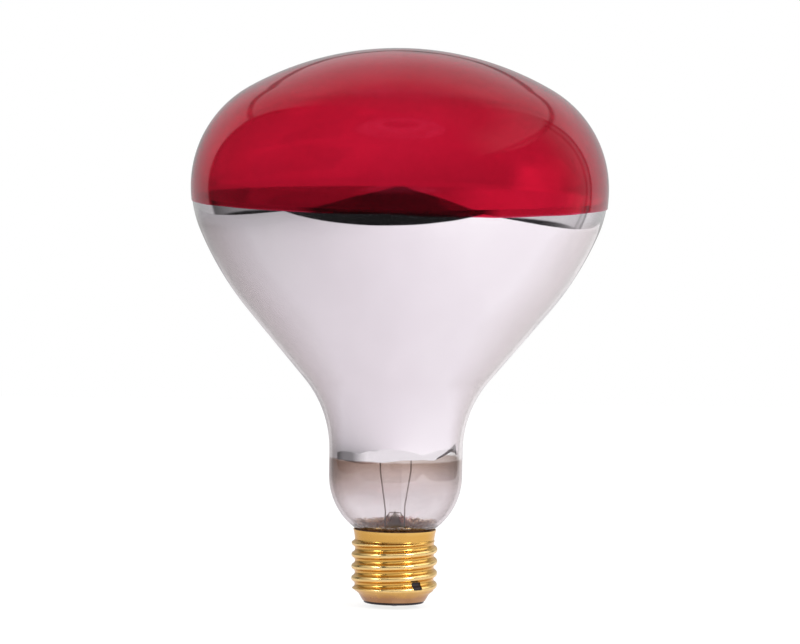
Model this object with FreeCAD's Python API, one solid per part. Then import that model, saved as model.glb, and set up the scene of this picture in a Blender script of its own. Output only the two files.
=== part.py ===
# Infrared heat lamp: a blown reflector bulb with a red lacquered face on a rolled brass screw cap.
# Millimetres, +Z from the cap to the face, origin at the tip of the centre contact's solder.
import FreeCAD, Part
import math
import os

# Blown glass, from the face down to the neck
bulb_diameter = 127.0
face_radius = 93.0
shoulder_radius = 34.5
shoulder_turn = 23.5
flank_radius = 100.0
cone_angle = 40.0
neck_fillet = 34.0
neck_diameter = 40.8
neck_length = 7.55
bowl_radius = 20.4
glass_wall = 0.9

# Glass tail that the cap is cemented to
tail_fillet = 1.5
seal_depth = 11.7
cement_gap = 1.15
cement_depth = 9.4
rim_gap = 0.5

# Coats on the glass
lacquer_thickness = 0.2
lacquer_drop = 4.6
coat_gap = 0.05
mirror_thickness = 0.2
mirror_overlap = 1.5
mirror_end = 6.0

# Rolled screw shell
cap_height = 23.7
thread_diameter = 26.3
thread_pitch = 3.629
first_crest = 4.95
thread_runout = 1.1
collar_height = 3.7
collar_flare = 0.55
shell_wall = 0.3
shell_edge_height = 1.9
shell_taper = 3.6
taper_angle = 55.0
foot_height = 2.25
foot_widening = 1.35
window_width = 3.2
window_height = 2.4
window_rise = 7.3
window_angle = 304.0

# Insulator and centre contact
insulator_drop = 0.8
insulator_bevel = 1.5
contact_diameter = 9.5
contact_thickness = 0.4
eyelet_bore = 1.4
eyelet_wall = 0.3
eyelet_height = 1.4
solder_diameter = 4.4
side_solder_diameter = 3.4

# Glass stem
flare_lift = 0.6
stem_wall = 0.7
stem_diameter = 10.0
stem_length = 1.0
pinch_length = 4.0
press_width = 10.4
press_thickness = 4.0
press_length = 1.2
press_shoulder = 4.5
exhaust_diameter = 3.2
exhaust_wall = 0.55
exhaust_socket = 2.4
exhaust_length = 9.0
arbor_diameter = 3.4
arbor_length = 34.0
button_diameter = 5.6
button_height = 3.0

# Wires and filament
inner_lead_diameter = 0.45
outer_lead_diameter = 0.4
lead_bend = 2.5
lead_spread = 4.7
lead_spread_rise = 13.0
lead_knee_drop = 6.0
side_lead_end = 0.4
support_diameter = 0.35
support_bend = 2.0
coil_diameter = 1.2
coil_ring_diameter = 22.0
coil_gap_angle = 90.0
coil_rise = 6.0

AXIS = FreeCAD.Vector(0, 0, 1)
ORIGIN = FreeCAD.Vector(0, 0, 0)


def at(r, z):
    """Point of the section plane at radius r and height z."""
    return FreeCAD.Vector(r, 0, z)


def revolved(edges, sweep=360.0):
    """Solid swept round the axis by a closed section of edges."""
    wire = Part.Wire(Part.__sortEdges__(edges))
    return Part.Face(wire).revolve(ORIGIN, AXIS, sweep)


def turned(points):
    """Solid of revolution whose section is the polygon through these (radius, height) corners."""
    corners = [at(r, z) for r, z in points]
    return revolved(Part.makePolygon(corners + corners[:1]).Edges)


def section_arc(centre, radius, start, end):
    """Arc of the section plane between two angles in radians."""
    spots = [
        at(centre[0] + radius * math.cos(a), centre[1] + radius * math.sin(a))
        for a in (start, (start + end) / 2, end)
    ]
    return Part.Arc(*spots).toShape()


def bent_wire(points, diameter, bend):
    """Round wire along straight runs joined by bends of one radius."""
    spots = [FreeCAD.Vector(*p) for p in points]
    edges = []
    start = spots[0]
    for before, corner, after in zip(spots, spots[1:], spots[2:]):
        back = (before - corner).normalize()
        on = (after - corner).normalize()
        half = back.getAngle(on) / 2
        if half > math.radians(89.9):
            continue
        middle = (back + on).normalize()
        reach = bend / math.tan(half)
        entry = corner + back * reach
        leave = corner + on * reach
        top = corner + middle * (bend / math.sin(half) - bend)
        edges.append(Part.makeLine(start, entry))
        edges.append(Part.Arc(entry, top, leave).toShape())
        start = leave
    edges.append(Part.makeLine(start, spots[-1]))
    ring = Part.Wire(Part.makeCircle(diameter / 2, spots[0], spots[1] - spots[0]))
    return Part.Wire(edges).makePipeShell([ring], True, False)


# The thread is two arcs of one radius, and the pitch sets how deep they reach
thread_arc = 0.2824 * thread_pitch
crest_centre = thread_diameter / 2 - thread_arc
root_centre = crest_centre + math.sqrt(4 * thread_arc**2 - thread_pitch**2 / 4)
root_land = root_centre - 0.94 * thread_arc
rim_radius = root_land + collar_flare
shell_edge_radius = thread_diameter / 2 - shell_taper
taper_lean = math.tan(math.radians(taper_angle))
foot_lean = foot_widening / foot_height

# Heights and radii that follow from the sizes above
bulb_radius = bulb_diameter / 2
neck_radius = neck_diameter / 2
tail_radius = root_land - shell_wall - cement_gap
tail_bore = tail_radius - glass_wall
seal_height = cap_height - seal_depth
turn = math.radians(shoulder_turn)
cone = math.radians(cone_angle)

# Bowl round the cap's rim, then a small fillet into the tail
bowl_centre = neck_radius - bowl_radius
rim_glass = rim_radius - shell_wall - rim_gap
bowl_height = cap_height + math.sqrt(bowl_radius**2 - (rim_glass - bowl_centre) ** 2)
tail_reach = tail_radius + tail_fillet - bowl_centre
tail_drop = math.sqrt((bowl_radius + tail_fillet) ** 2 - tail_reach**2)
bowl_turn = math.atan2(-tail_drop, tail_reach)

# Concave fillet, straight cone and flank from the neck up to the widest circle
fillet_height = bowl_height + neck_length
fillet_edge = neck_radius + neck_fillet * (1 - math.cos(cone))
flank_centre = bulb_radius - shoulder_radius - (flank_radius - shoulder_radius) * math.cos(turn)
cone_rise = (flank_centre + flank_radius * math.cos(cone) - fillet_edge) / math.tan(cone)
flank_height = fillet_height + (neck_fillet + flank_radius) * math.sin(cone) + cone_rise
equator = flank_height - (flank_radius - shoulder_radius) * math.sin(turn)
face_drop = math.sqrt((face_radius - shoulder_radius) ** 2 - (bulb_radius - shoulder_radius) ** 2)
face_height = equator - face_drop
face_turn = math.atan2(face_drop, bulb_radius - shoulder_radius)
apex = face_height + face_radius

# Each arc of the outside: centre, radius with a minus where it is hollow, first and last normal
outline = [
    ((0, face_height), face_radius, math.pi / 2, face_turn),
    ((bulb_radius - shoulder_radius, equator), shoulder_radius, face_turn, -turn),
    ((flank_centre, flank_height), flank_radius, -turn, -cone),
    ((neck_radius + neck_fillet, fillet_height), -neck_fillet, -cone, 0),
    ((bowl_centre, bowl_height), bowl_radius, 0, bowl_turn),
    ((tail_radius + tail_fillet, bowl_height - tail_drop), -tail_fillet, bowl_turn, 0),
]


def glass_line(inset):
    """Section edges from the apex to the tail's end at a depth under the outside of the glass."""
    edges = []
    last = None
    for centre, radius, start, end in outline:
        arc = section_arc(centre, radius - inset, start, end)
        first = arc.Vertexes[0].Point
        if last is not None and last.distanceToPoint(first) > 1e-6:
            edges.append(Part.makeLine(last, first))
        edges.append(arc)
        last = arc.Vertexes[-1].Point
    edges.append(Part.makeLine(last, at(tail_radius - inset, seal_height)))
    return edges


def glass_skin(outer, inner):
    """Solid between two depths under the outside of the glass, open at the tail."""
    top = Part.makeLine(at(0, apex - outer), at(0, apex - inner))
    foot = Part.makeLine(at(tail_radius - outer, seal_height), at(tail_radius - inner, seal_height))
    return revolved(glass_line(outer) + glass_line(inner) + [top, foot])


def band(low, high):
    """Disc wider than the bulb between two heights, to trim a coat to its edges."""
    return Part.makeCylinder(bulb_diameter, high - low, at(0, low))


glass_envelope = glass_skin(0, glass_wall)
axis_line = Part.makeLine(at(0, seal_height), at(0, apex))
tail_end = Part.makeLine(at(0, seal_height), at(tail_radius, seal_height))
glass_blank = revolved(glass_line(0) + [axis_line, tail_end])

# Red lacquer outside the face, and the mirror inside the flank up to just past the lacquer's edge
lacquer_edge = equator - lacquer_drop
lacquer_skin = glass_skin(-coat_gap - lacquer_thickness, -coat_gap)
red_lacquer = lacquer_skin.common(band(lacquer_edge, apex + 1))
mirror_low = bowl_height + mirror_end
mirror_depth = glass_wall + coat_gap
mirror_skin = glass_skin(mirror_depth, mirror_depth + mirror_thickness)
mirror_coat = mirror_skin.common(band(mirror_low, lacquer_edge + mirror_overlap))


def thread_ridge(inset):
    """Helical ridge of the rolled thread, its foot sunk in the core so that the two fuse."""
    lean = math.atan2(thread_pitch / 2, root_centre - crest_centre)
    start = first_crest - 2 * thread_pitch
    reach = thread_arc - inset
    hollow = thread_arc + inset
    side = math.radians(14)
    upper = [
        (root_centre - hollow * math.cos(a), thread_pitch / 2 - hollow * math.sin(a))
        for a in (lean, side)
    ]
    flat = reach * math.tan(lean / 3)
    crest = [(crest_centre + reach, -flat), (crest_centre + reach, flat)]
    foot = root_land - inset - 0.5
    lower = [(r, -z) for r, z in reversed(upper)]
    corners = [(foot, lower[0][1])] + lower + crest + upper + [(foot, upper[-1][1])]
    spots = [at(r, start + z) for r, z in corners]
    section = Part.makePolygon(spots + spots[:1])
    turns = math.ceil((cap_height - start) / thread_pitch)
    helix = Part.makeLongHelix(thread_pitch, turns * thread_pitch, foot)
    helix.translate(at(0, start))
    ridge = helix.makePipeShell([section], True, True)
    ridge.rotate(ORIGIN, AXIS, 180)
    return ridge


def shell_body(inset, past):
    """Filled form of the screw shell at a depth under its outside, run past both ends."""
    low = shell_edge_height - past
    high = cap_height + past
    land = root_land - inset
    wide = thread_diameter / 2 + 0.1 - inset
    collar = cap_height - collar_height
    runout = collar - 0.4
    core = turned([(0, low), (land, low), (land, collar), (land + collar_flare, cap_height)] + (
        [(land + collar_flare, high)] if past else []) + [(0, high)])
    foot_shift = inset * math.hypot(1, foot_lean)
    taper_shift = inset * math.hypot(1, taper_lean)
    bend = foot_height + (taper_shift - foot_shift) / (taper_lean - foot_lean)
    bend_radius = shell_edge_radius - foot_shift + foot_lean * bend
    limit = turned([
        (0, low),
        (shell_edge_radius - foot_shift - foot_lean * past, low),
        (bend_radius, shell_edge_height + bend),
        (wide, shell_edge_height + bend + (wide - bend_radius) / taper_lean),
        (wide, runout),
        (land + 0.2, runout + thread_runout),
        (land + collar_flare + 0.1, high),
        (0, high),
    ])
    return core.fuse(thread_ridge(inset)).common(limit)


# Brass shell with a window in its last turn, where the insulator's glass keys in
shell_outside = shell_body(0, 0)
shell_inside = shell_body(shell_wall, 0.5)
window = Part.makeBox(
    thread_diameter, window_width, window_height,
    FreeCAD.Vector(0, -window_width / 2, window_rise - window_height / 2),
)
window.rotate(ORIGIN, AXIS, window_angle)
shell_ring = shell_outside.cut(shell_inside)
screw_shell = shell_ring.cut(window)

# Wires: an outer copper run in the cap and an inner nickel run to the filament, met in the press
flare_turn = tail_bore - stem_diameter / 2
flare_low = seal_height + flare_lift
flare_centre = flare_low + stem_wall + flare_turn
press_start = flare_centre + stem_length
press_low = press_start + pinch_length
press_high = press_low + press_length
press_top = press_high + press_shoulder
stem_bore = stem_diameter / 2 - stem_wall
lead_x = (exhaust_diameter / 2 + stem_bore) / 2
lead_joint = press_low + 0.5
insulator_top = window_rise + window_height / 2 + 0.6
insulator_low = shell_edge_height - insulator_drop
contact_low = insulator_low - contact_thickness
gap_middle = (tail_radius + root_land - shell_wall) / 2
rim_middle = (rim_glass + rim_radius - shell_wall) / 2
lead_lean = (rim_middle - gap_middle) / collar_height
under_tail = (insulator_top + seal_height) / 2

outer_lead_centre = bent_wire(
    [(-lead_x, 0, lead_joint), (-lead_x, 0, seal_height + 3), (0, 0, insulator_top + 1), (0, 0, contact_low / 2)],
    outer_lead_diameter, 0.6,
)
outer_lead_side = bent_wire(
    [
        (lead_x, 0, lead_joint),
        (lead_x, 0, seal_height + 3),
        (lead_x / 2, tail_bore, under_tail),
        (0, gap_middle, seal_height - 0.3),
        (0, gap_middle, cap_height - collar_height),
        (0, rim_middle - lead_lean * side_lead_end, cap_height - side_lead_end),
    ],
    outer_lead_diameter, 0.4,
)

# Filament ring over the mount, open towards the front, and the two leads that end on it
arbor_top = press_top + arbor_length
coil_height = arbor_top + coil_rise
ring = coil_ring_diameter / 2
half_gap = math.radians(coil_gap_angle / 2)
coil_spot = FreeCAD.Vector(ring, 0, coil_height)
coil_face = Part.Face(Part.Wire(Part.makeCircle(coil_diameter / 2, coil_spot, FreeCAD.Vector(0, 1, 0))))
filament = coil_face.revolve(ORIGIN, AXIS, 360 - coil_gap_angle)
filament.rotate(ORIGIN, AXIS, coil_gap_angle / 2 - 90)
coil_end_x = ring * math.sin(half_gap)
coil_end_y = -ring * math.cos(half_gap)
run_in = (coil_end_x - lead_spread) / math.cos(half_gap)
run_y = coil_end_y - run_in * math.sin(half_gap)


def inner_lead(side, straight):
    """Nickel lead from the press to one end of the filament, spread after a first straight run."""
    return bent_wire(
        [
            (side * lead_x, 0, lead_joint),
            (side * lead_x, 0, press_top + straight),
            (side * lead_spread, 0, press_top + lead_spread_rise),
            (side * lead_spread, 0, arbor_top - lead_knee_drop),
            (side * lead_spread, run_y, coil_height),
            (side * coil_end_x, coil_end_y, coil_height),
        ],
        inner_lead_diameter, lead_bend * 0.6,
    )


inner_lead_left = inner_lead(-1, 0.5)
inner_lead_right = inner_lead(1, 2.0)

# Arbor with its button, and hooked supports melted into the button
button = arbor_top - button_height / 2
arbor_foot = press_top - press_shoulder
arbor = turned([(0, arbor_foot), (arbor_diameter / 2, arbor_foot), (arbor_diameter / 2, arbor_top), (0, arbor_top)])
button_disc = Part.makeCylinder(button_diameter / 2, button_height, at(0, arbor_top - button_height))
arbor = arbor.fuse(button_disc.makeFillet(button_height * 0.3, button_disc.Edges)).removeSplitter()


def coil_support(angle):
    """Molybdenum wire from the button out to the filament, with an eye round the coil."""
    foot = (arbor_diameter / 4, 0, button)
    stem = bent_wire(
        [foot, (ring, 0, button), (ring, 0, coil_height - coil_diameter / 2 - support_diameter * 0.3)],
        support_diameter, support_bend,
    )
    eye_turn = math.degrees(1.8 * support_diameter / ring)
    lip = Part.makeCircle(coil_diameter / 2 + support_diameter, coil_spot, FreeCAD.Vector(0, 1, 0))
    eye = Part.Face(Part.Wire(lip)).revolve(ORIGIN, AXIS, eye_turn)
    eye = eye.cut(coil_face.revolve(ORIGIN, AXIS, eye_turn))
    eye.rotate(ORIGIN, AXIS, -eye_turn / 2)
    wire = stem.fuse(eye)
    wire.rotate(ORIGIN, AXIS, angle)
    return wire


support_right = coil_support(0)
support_back = coil_support(90)
support_left = coil_support(180)
for wire in (support_right, support_back, support_left):
    arbor = arbor.cut(wire)

# Stem: flare sealed to the tail, tube, and the press pinched flat round the leads
flare_edge = at(tail_bore, flare_low)
flare_rim = at(tail_bore, flare_low + stem_wall)
flare_axis = (tail_bore, flare_centre)
tube_out = at(stem_diameter / 2, press_start)
tube_in = at(stem_bore, press_start)
flare = revolved([
    section_arc(flare_axis, flare_turn, math.pi, 1.5 * math.pi),
    section_arc(flare_axis, flare_turn + stem_wall, math.pi, 1.5 * math.pi),
    Part.makeLine(flare_edge, flare_rim),
    Part.makeLine(at(stem_diameter / 2, flare_centre), tube_out),
    Part.makeLine(at(stem_bore, flare_centre), tube_in),
    Part.makeLine(tube_out, tube_in),
])


def stem_ring(width, depth, height):
    """Oval section of the stem, wide across the leads."""
    oval = Part.Ellipse(
        FreeCAD.Vector(width / 2, 0, height), FreeCAD.Vector(0, depth / 2, height), at(0, height)
    )
    return Part.Wire(oval.toShape())


press_oval = stem_ring(press_width, press_thickness, press_low)
stem_round = Part.Wire(Part.makeCircle(stem_diameter / 2, at(0, press_start)))
nub = Part.Wire(Part.makeCircle(arbor_diameter / 2 + 0.3, at(0, press_top)))
pinch = Part.makeLoft([stem_round, press_oval], True, True)
press = Part.Face(press_oval).extrude(AXIS * press_length)
shoulder = Part.makeLoft([stem_ring(press_width, press_thickness, press_high), nub], True, True)
stem = flare.fuse([pinch, press, shoulder]).removeSplitter()

# Exhaust tube melted into the press and sealed off to a point inside the flare
exhaust_top = press_start + exhaust_socket
exhaust_low = exhaust_top - exhaust_length
exhaust_bore = exhaust_diameter / 2 - exhaust_wall
exhaust_tube = turned([
    (0, exhaust_low),
    (exhaust_diameter / 2, exhaust_low + exhaust_diameter),
    (exhaust_diameter / 2, exhaust_top),
    (exhaust_bore, exhaust_top),
    (exhaust_bore, exhaust_low + 1.2 * exhaust_diameter),
    (0, exhaust_low + 0.5 * exhaust_diameter),
])
exhaust_seat = Part.makeCylinder(exhaust_diameter / 2, exhaust_socket, at(0, press_start))
for taken in (exhaust_seat, inner_lead_left, inner_lead_right, outer_lead_centre, outer_lead_side, arbor):
    stem = stem.cut(taken)

# Black glass insulator cast in the shell's foot, with the centre contact's eyelet pressed into it
insulator_fill = shell_inside.common(band(shell_edge_height, insulator_top))
skirt_radius = shell_edge_radius - shell_wall * math.hypot(1, foot_lean)
insulator_skirt = turned([
    (0, insulator_low),
    (skirt_radius - insulator_bevel, insulator_low),
    (skirt_radius, insulator_low + insulator_drop * 0.7),
    (skirt_radius, shell_edge_height),
    (0, shell_edge_height),
])
contact_edge = contact_thickness * 0.45
eyelet = eyelet_bore / 2
centre_contact = turned([
    (eyelet, contact_low),
    (contact_diameter / 2 - contact_edge, contact_low),
    (contact_diameter / 2, contact_low + contact_edge),
    (contact_diameter / 2, insulator_low),
    (eyelet + eyelet_wall, insulator_low),
    (eyelet + eyelet_wall, insulator_low + eyelet_height),
    (eyelet, insulator_low + eyelet_height),
])
eyelet_hole = Part.makeCylinder(eyelet + eyelet_wall, eyelet_height, at(0, insulator_low))
insulator = insulator_fill.fuse(insulator_skirt).cut(eyelet_hole).cut(outer_lead_centre)

# Solder: a dome that fills the contact's eyelet, and a bead on the shell's rim, run down round the side lead
dome_half = solder_diameter / 2
dome = (dome_half**2 + contact_low**2) / (2 * contact_low)
dome_turn = math.asin(dome_half / dome)
centre_solder = revolved([
    section_arc((0, dome), dome, -math.pi / 2, dome_turn - math.pi / 2),
    Part.makeLine(at(dome_half, contact_low), at(0, contact_low)),
    Part.makeLine(at(0, contact_low), at(0, 0)),
])
solder_plug = Part.makeCylinder(eyelet, contact_thickness, at(0, contact_low))
centre_solder = centre_solder.fuse(solder_plug).cut(outer_lead_centre)
bead_spot = FreeCAD.Vector(0, rim_radius, cap_height + side_solder_diameter * 0.1)
side_solder = Part.makeSphere(side_solder_diameter / 2, bead_spot)
side_solder = side_solder.cut(glass_blank).cut(shell_ring).cut(outer_lead_side)

# Cement that fills the gap between the shell and the glass tail
cement_ring = shell_inside.common(band(cap_height - cement_depth, cap_height))
capping_cement = cement_ring.cut(glass_blank).cut(side_solder).cut(outer_lead_side)

os.makedirs("parts", exist_ok=True)
pieces = {
    "glass_envelope": glass_envelope,
    "red_lacquer": red_lacquer,
    "mirror_coat": mirror_coat,
    "stem": stem,
    "exhaust_tube": exhaust_tube,
    "arbor": arbor,
    "inner_lead_left": inner_lead_left,
    "inner_lead_right": inner_lead_right,
    "outer_lead_centre": outer_lead_centre,
    "outer_lead_side": outer_lead_side,
    "support_left": support_left,
    "support_back": support_back,
    "support_right": support_right,
    "filament": filament,
    "screw_shell": screw_shell,
    "insulator": insulator,
    "centre_contact": centre_contact,
    "centre_solder": centre_solder,
    "side_solder": side_solder,
    "capping_cement": capping_cement,
}
for name, shape in pieces.items():
    if len(shape.Solids) != 1 or not shape.isValid():
        raise ValueError(f"{name} is {len(shape.Solids)} solids, valid {shape.isValid()}")
    shape.Solids[0].exportStep(f"parts/{name}.step")
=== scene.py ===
import bpy
import math
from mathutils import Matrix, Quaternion, Vector, noise


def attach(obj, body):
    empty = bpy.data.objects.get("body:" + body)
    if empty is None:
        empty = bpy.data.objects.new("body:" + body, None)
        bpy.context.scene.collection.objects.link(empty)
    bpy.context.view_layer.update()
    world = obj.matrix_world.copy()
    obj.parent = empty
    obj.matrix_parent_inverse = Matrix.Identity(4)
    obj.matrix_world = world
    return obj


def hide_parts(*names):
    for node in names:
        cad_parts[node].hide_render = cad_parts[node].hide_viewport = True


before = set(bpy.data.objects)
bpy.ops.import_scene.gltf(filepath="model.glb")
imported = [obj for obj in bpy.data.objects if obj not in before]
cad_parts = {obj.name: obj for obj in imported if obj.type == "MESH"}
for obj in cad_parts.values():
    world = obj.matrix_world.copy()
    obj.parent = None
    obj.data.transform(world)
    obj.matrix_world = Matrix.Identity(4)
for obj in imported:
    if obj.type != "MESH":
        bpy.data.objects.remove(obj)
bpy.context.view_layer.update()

# Glass envelope: one piece of clear soft glass, blown in a mould from the face to the tail inside the cap.
# Half of its outline is drawn as the mould's chain of arcs, down the outside of the wall and back up the
# inside, and spun round the axis.
MM = 0.001
wall = 0.9 * MM
bulb_radius = 63.5 * MM
face_radius = 93 * MM
shoulder_radius = 34.5 * MM
shoulder_turn = math.radians(23.5)
flank_radius = 100 * MM
cone_turn = math.radians(40)
fillet_radius = 34 * MM
neck_radius = 20.4 * MM
neck_length = 7.55 * MM
rim_height = 23.7 * MM
rim_glass = 11.865 * MM
tail_radius = 10.665 * MM
tail_fillet = 1.5 * MM
tail_end = 12.0 * MM
bowl_height = rim_height + math.sqrt(neck_radius**2 - rim_glass**2)
tail_reach = tail_radius + tail_fillet
tail_drop = math.sqrt((neck_radius + tail_fillet) ** 2 - tail_reach**2)
bowl_turn = math.atan2(tail_drop, tail_reach)
fillet_height = bowl_height + neck_length
flank_centre = bulb_radius - shoulder_radius - (flank_radius - shoulder_radius) * math.cos(shoulder_turn)
cone_foot = neck_radius + fillet_radius * (1 - math.cos(cone_turn))
cone_width = flank_centre + flank_radius * math.cos(cone_turn) - cone_foot
cone_rise = cone_width / math.tan(cone_turn)
flank_height = fillet_height + (fillet_radius + flank_radius) * math.sin(cone_turn) + cone_rise
equator = flank_height - (flank_radius - shoulder_radius) * math.sin(shoulder_turn)
shoulder_centre = bulb_radius - shoulder_radius
face_drop = math.sqrt((face_radius - shoulder_radius) ** 2 - shoulder_centre**2)
face_height = equator - face_drop
face_turn = math.atan2(shoulder_centre, face_drop)
apex = face_height + face_radius


def begin_outline(name, r, z):
    """A new piece that starts as one point of its half outline."""
    bpy.ops.object.select_all(action="DESELECT")
    bpy.ops.mesh.primitive_plane_add(size=MM, location=(r, 0, z))
    piece = bpy.context.object
    piece.name = name
    piece.data.name = name
    bpy.ops.object.transform_apply(location=True, rotation=False, scale=False)
    bpy.ops.object.mode_set(mode="EDIT")
    bpy.ops.mesh.select_mode(type="VERT")
    bpy.ops.mesh.select_all(action="SELECT")
    bpy.ops.mesh.merge(type="CENTER")
    return piece


def run_by(r, z, parts=1):
    """The outline goes on in a straight line, in as many equal parts as asked."""
    for part in range(parts):
        bpy.ops.mesh.extrude_region_move(TRANSFORM_OT_translate={"value": (r / parts, 0, z / parts)})


def arc_about(r, z, turn, steps):
    """The outline goes on round a centre, clockwise as drawn with the axis on the left."""
    bpy.ops.mesh.spin(steps=steps, angle=-turn, center=(r, 0, z), axis=(0, 1, 0))


def spin_outline(steps):
    """The drawn outline is spun once round the axis and closed, with crisp corners."""
    bpy.ops.mesh.select_all(action="SELECT")
    bpy.ops.mesh.spin(steps=steps, angle=2 * math.pi, center=(0, 0, 0), axis=(0, 0, 1))
    bpy.ops.mesh.select_all(action="SELECT")
    bpy.ops.mesh.remove_doubles(threshold=2e-6)
    bpy.ops.mesh.normals_make_consistent(inside=False)
    bpy.ops.object.mode_set(mode="OBJECT")
    bpy.ops.object.shade_smooth_by_angle(angle=math.radians(40))


envelope = begin_outline("envelope", 0, apex)
arc_about(0, face_height, face_turn, 22)
arc_about(shoulder_centre, equator, math.pi / 2 - face_turn + shoulder_turn, 30)
arc_about(flank_centre, flank_height, cone_turn - shoulder_turn, 12)
run_by(-cone_width, -cone_rise, 4)
arc_about(neck_radius + fillet_radius, fillet_height, -cone_turn, 16)
run_by(0, -neck_length, 3)
arc_about(0, bowl_height, bowl_turn, 20)
arc_about(tail_reach, bowl_height - tail_drop, -bowl_turn, 6)
run_by(0, tail_end - bowl_height + tail_drop, 3)
run_by(-wall, 0)
run_by(0, bowl_height - tail_drop - tail_end, 3)
arc_about(tail_reach, bowl_height - tail_drop, bowl_turn, 6)
arc_about(0, bowl_height, -bowl_turn, 20)
run_by(0, neck_length, 3)
arc_about(neck_radius + fillet_radius, fillet_height, cone_turn, 16)
run_by(cone_width, cone_rise, 4)
arc_about(flank_centre, flank_height, shoulder_turn - cone_turn, 12)
arc_about(shoulder_centre, equator, face_turn - math.pi / 2 - shoulder_turn, 30)
arc_about(0, face_height, -face_turn, 22)
spin_outline(192)


def new_finish(name):
    """A node material with its shader, ready to take colour and relief."""
    finish = bpy.data.materials.new(name)
    finish.use_nodes = True
    return finish, finish.node_tree, finish.node_tree.nodes["Principled BSDF"]


def place_noise(tree, scale, detail, stretch=(1, 1, 1)):
    """Noise fixed to the piece, in its own coordinates."""
    place = tree.nodes.new("ShaderNodeTexCoord")
    spread = tree.nodes.new("ShaderNodeMapping")
    spread.inputs["Scale"].default_value = stretch
    tree.links.new(place.outputs["Object"], spread.inputs["Vector"])
    grain = tree.nodes.new("ShaderNodeTexNoise")
    grain.inputs["Scale"].default_value = scale
    grain.inputs["Detail"].default_value = detail
    tree.links.new(spread.outputs["Vector"], grain.inputs["Vector"])
    return grain.outputs["Fac"]


def ramp_of(tree, source, stops):
    """Colours along a 0 to 1 value."""
    ramp = tree.nodes.new("ShaderNodeValToRGB")
    ramp.color_ramp.elements[0].position = stops[0][0]
    ramp.color_ramp.elements[0].color = (*stops[0][1], 1)
    ramp.color_ramp.elements[1].position = stops[-1][0]
    ramp.color_ramp.elements[1].color = (*stops[-1][1], 1)
    for position, colour in stops[1:-1]:
        ramp.color_ramp.elements.new(position).color = (*colour, 1)
    tree.links.new(source, ramp.inputs["Fac"])
    return ramp.outputs["Color"]


def spread_of(tree, source, low, high, new_low, new_high):
    """One range of a value mapped on another."""
    spread = tree.nodes.new("ShaderNodeMapRange")
    spread.inputs["From Min"].default_value = low
    spread.inputs["From Max"].default_value = high
    spread.inputs["To Min"].default_value = new_low
    spread.inputs["To Max"].default_value = new_high
    tree.links.new(source, spread.inputs["Value"])
    return spread.outputs["Result"]


def relief(tree, shader, source, strength, distance):
    """A bump from a height value."""
    bump = tree.nodes.new("ShaderNodeBump")
    bump.inputs["Strength"].default_value = strength
    bump.inputs["Distance"].default_value = distance
    tree.links.new(source, bump.inputs["Height"])
    tree.links.new(bump.outputs["Normal"], shader.inputs["Normal"])


def own_axes(tree):
    """The piece's own coordinates in metres, split into X, Y and Z."""
    place = tree.nodes.new("ShaderNodeTexCoord")
    split = tree.nodes.new("ShaderNodeSeparateXYZ")
    tree.links.new(place.outputs["Object"], split.inputs["Vector"])
    return split.outputs


def sum_up(tree, operation, *values):
    """One step of arithmetic on numbers and sockets."""
    step = tree.nodes.new("ShaderNodeMath")
    step.operation = operation
    for socket, value in zip(step.inputs, values):
        if isinstance(value, (int, float)):
            socket.default_value = value
        else:
            tree.links.new(value, socket)
    return step.outputs["Value"]


def uneven_height(tree, scale, swing):
    """The height raised by noise, for edges that run unevenly round the piece."""
    return sum_up(tree, "MULTIPLY_ADD", place_noise(tree, scale, 2), swing, own_axes(tree)["Z"])


def blend_of(tree, mode, share, first, second):
    """Two colours laid over each other, by a share that is a number or a value."""
    blend = tree.nodes.new("ShaderNodeMix")
    blend.data_type = "RGBA"
    blend.blend_type = mode
    if isinstance(share, float):
        blend.inputs[0].default_value = share
    else:
        tree.links.new(share, blend.inputs[0])
    tree.links.new(first, blend.inputs[6])
    tree.links.new(second, blend.inputs[7])
    return blend.outputs[2]


bloom_low = 26 * MM
bloom_high = 58 * MM
bloom_half = 20 * MM
bloom_stop = 46.1 * MM
left_shade_from = 34 * MM
side_shade_from = 38 * MM
ring_top = 26.3 * MM
rim_dark_top = 25.9 * MM
edge_shade_to = 119 * MM


def fade_over(tree, source, middle, half):
    """A share that goes from 0 to 1 over a short stretch, or back where the half is negative."""
    return spread_of(tree, source, middle - half, middle + half, 0, 1)


clear_glass, tree, shader = new_finish("clear_glass")
shader.inputs["IOR"].default_value = 1.5
shader.inputs["Roughness"].default_value = 0.0
axes = own_axes(tree)
bloom_and_shade = spread_of(tree, uneven_height(tree, 90, 6 * MM), bloom_low, bloom_high, 0, 1)
bloom_and_shade = ramp_of(tree, bloom_and_shade, [
    (0.0, (0.86, 0.82, 0.84)),
    (0.25, (0.83, 0.785, 0.805)),
    (0.38, (0.76, 0.705, 0.72)),
    (0.52, (0.79, 0.71, 0.70)),
    (0.70, (0.61, 0.50, 0.455)),
])
# Painted shade: from about 34 mm up, the bloom is darker on the left side of the glass.
painted_left_shade = ramp_of(tree, spread_of(tree, axes["X"], -bloom_half, bloom_half, 0, 1), [
    (0.0, (0.83, 0.79, 0.77)),
    (0.35, (0.91, 0.89, 0.88)),
    (0.60, (1, 1, 1)),
])
left_share = fade_over(tree, axes["Z"], left_shade_from, 2 * MM)
bloom_and_shade = blend_of(tree, "MULTIPLY", left_share, bloom_and_shade, painted_left_shade)
edge_on = tree.nodes.new("ShaderNodeLayerWeight")
edge_on.inputs["Blend"].default_value = 0.5
bloom_side = ramp_of(tree, edge_on.outputs["Facing"], [
    (0.0, (1, 1, 1)),
    (0.12, (0.95, 0.95, 0.95)),
    (0.33, (0.78, 0.77, 0.77)),
    (0.77, (0.64, 0.62, 0.61)),
])
side_share = fade_over(tree, axes["Z"], side_shade_from, 2 * MM)
bloom_and_shade = blend_of(tree, "MULTIPLY", side_share, bloom_and_shade, bloom_side)
bare = tree.nodes.new("ShaderNodeRGB")
bare.outputs["Color"].default_value = (0.95, 0.94, 0.95, 1)
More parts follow.
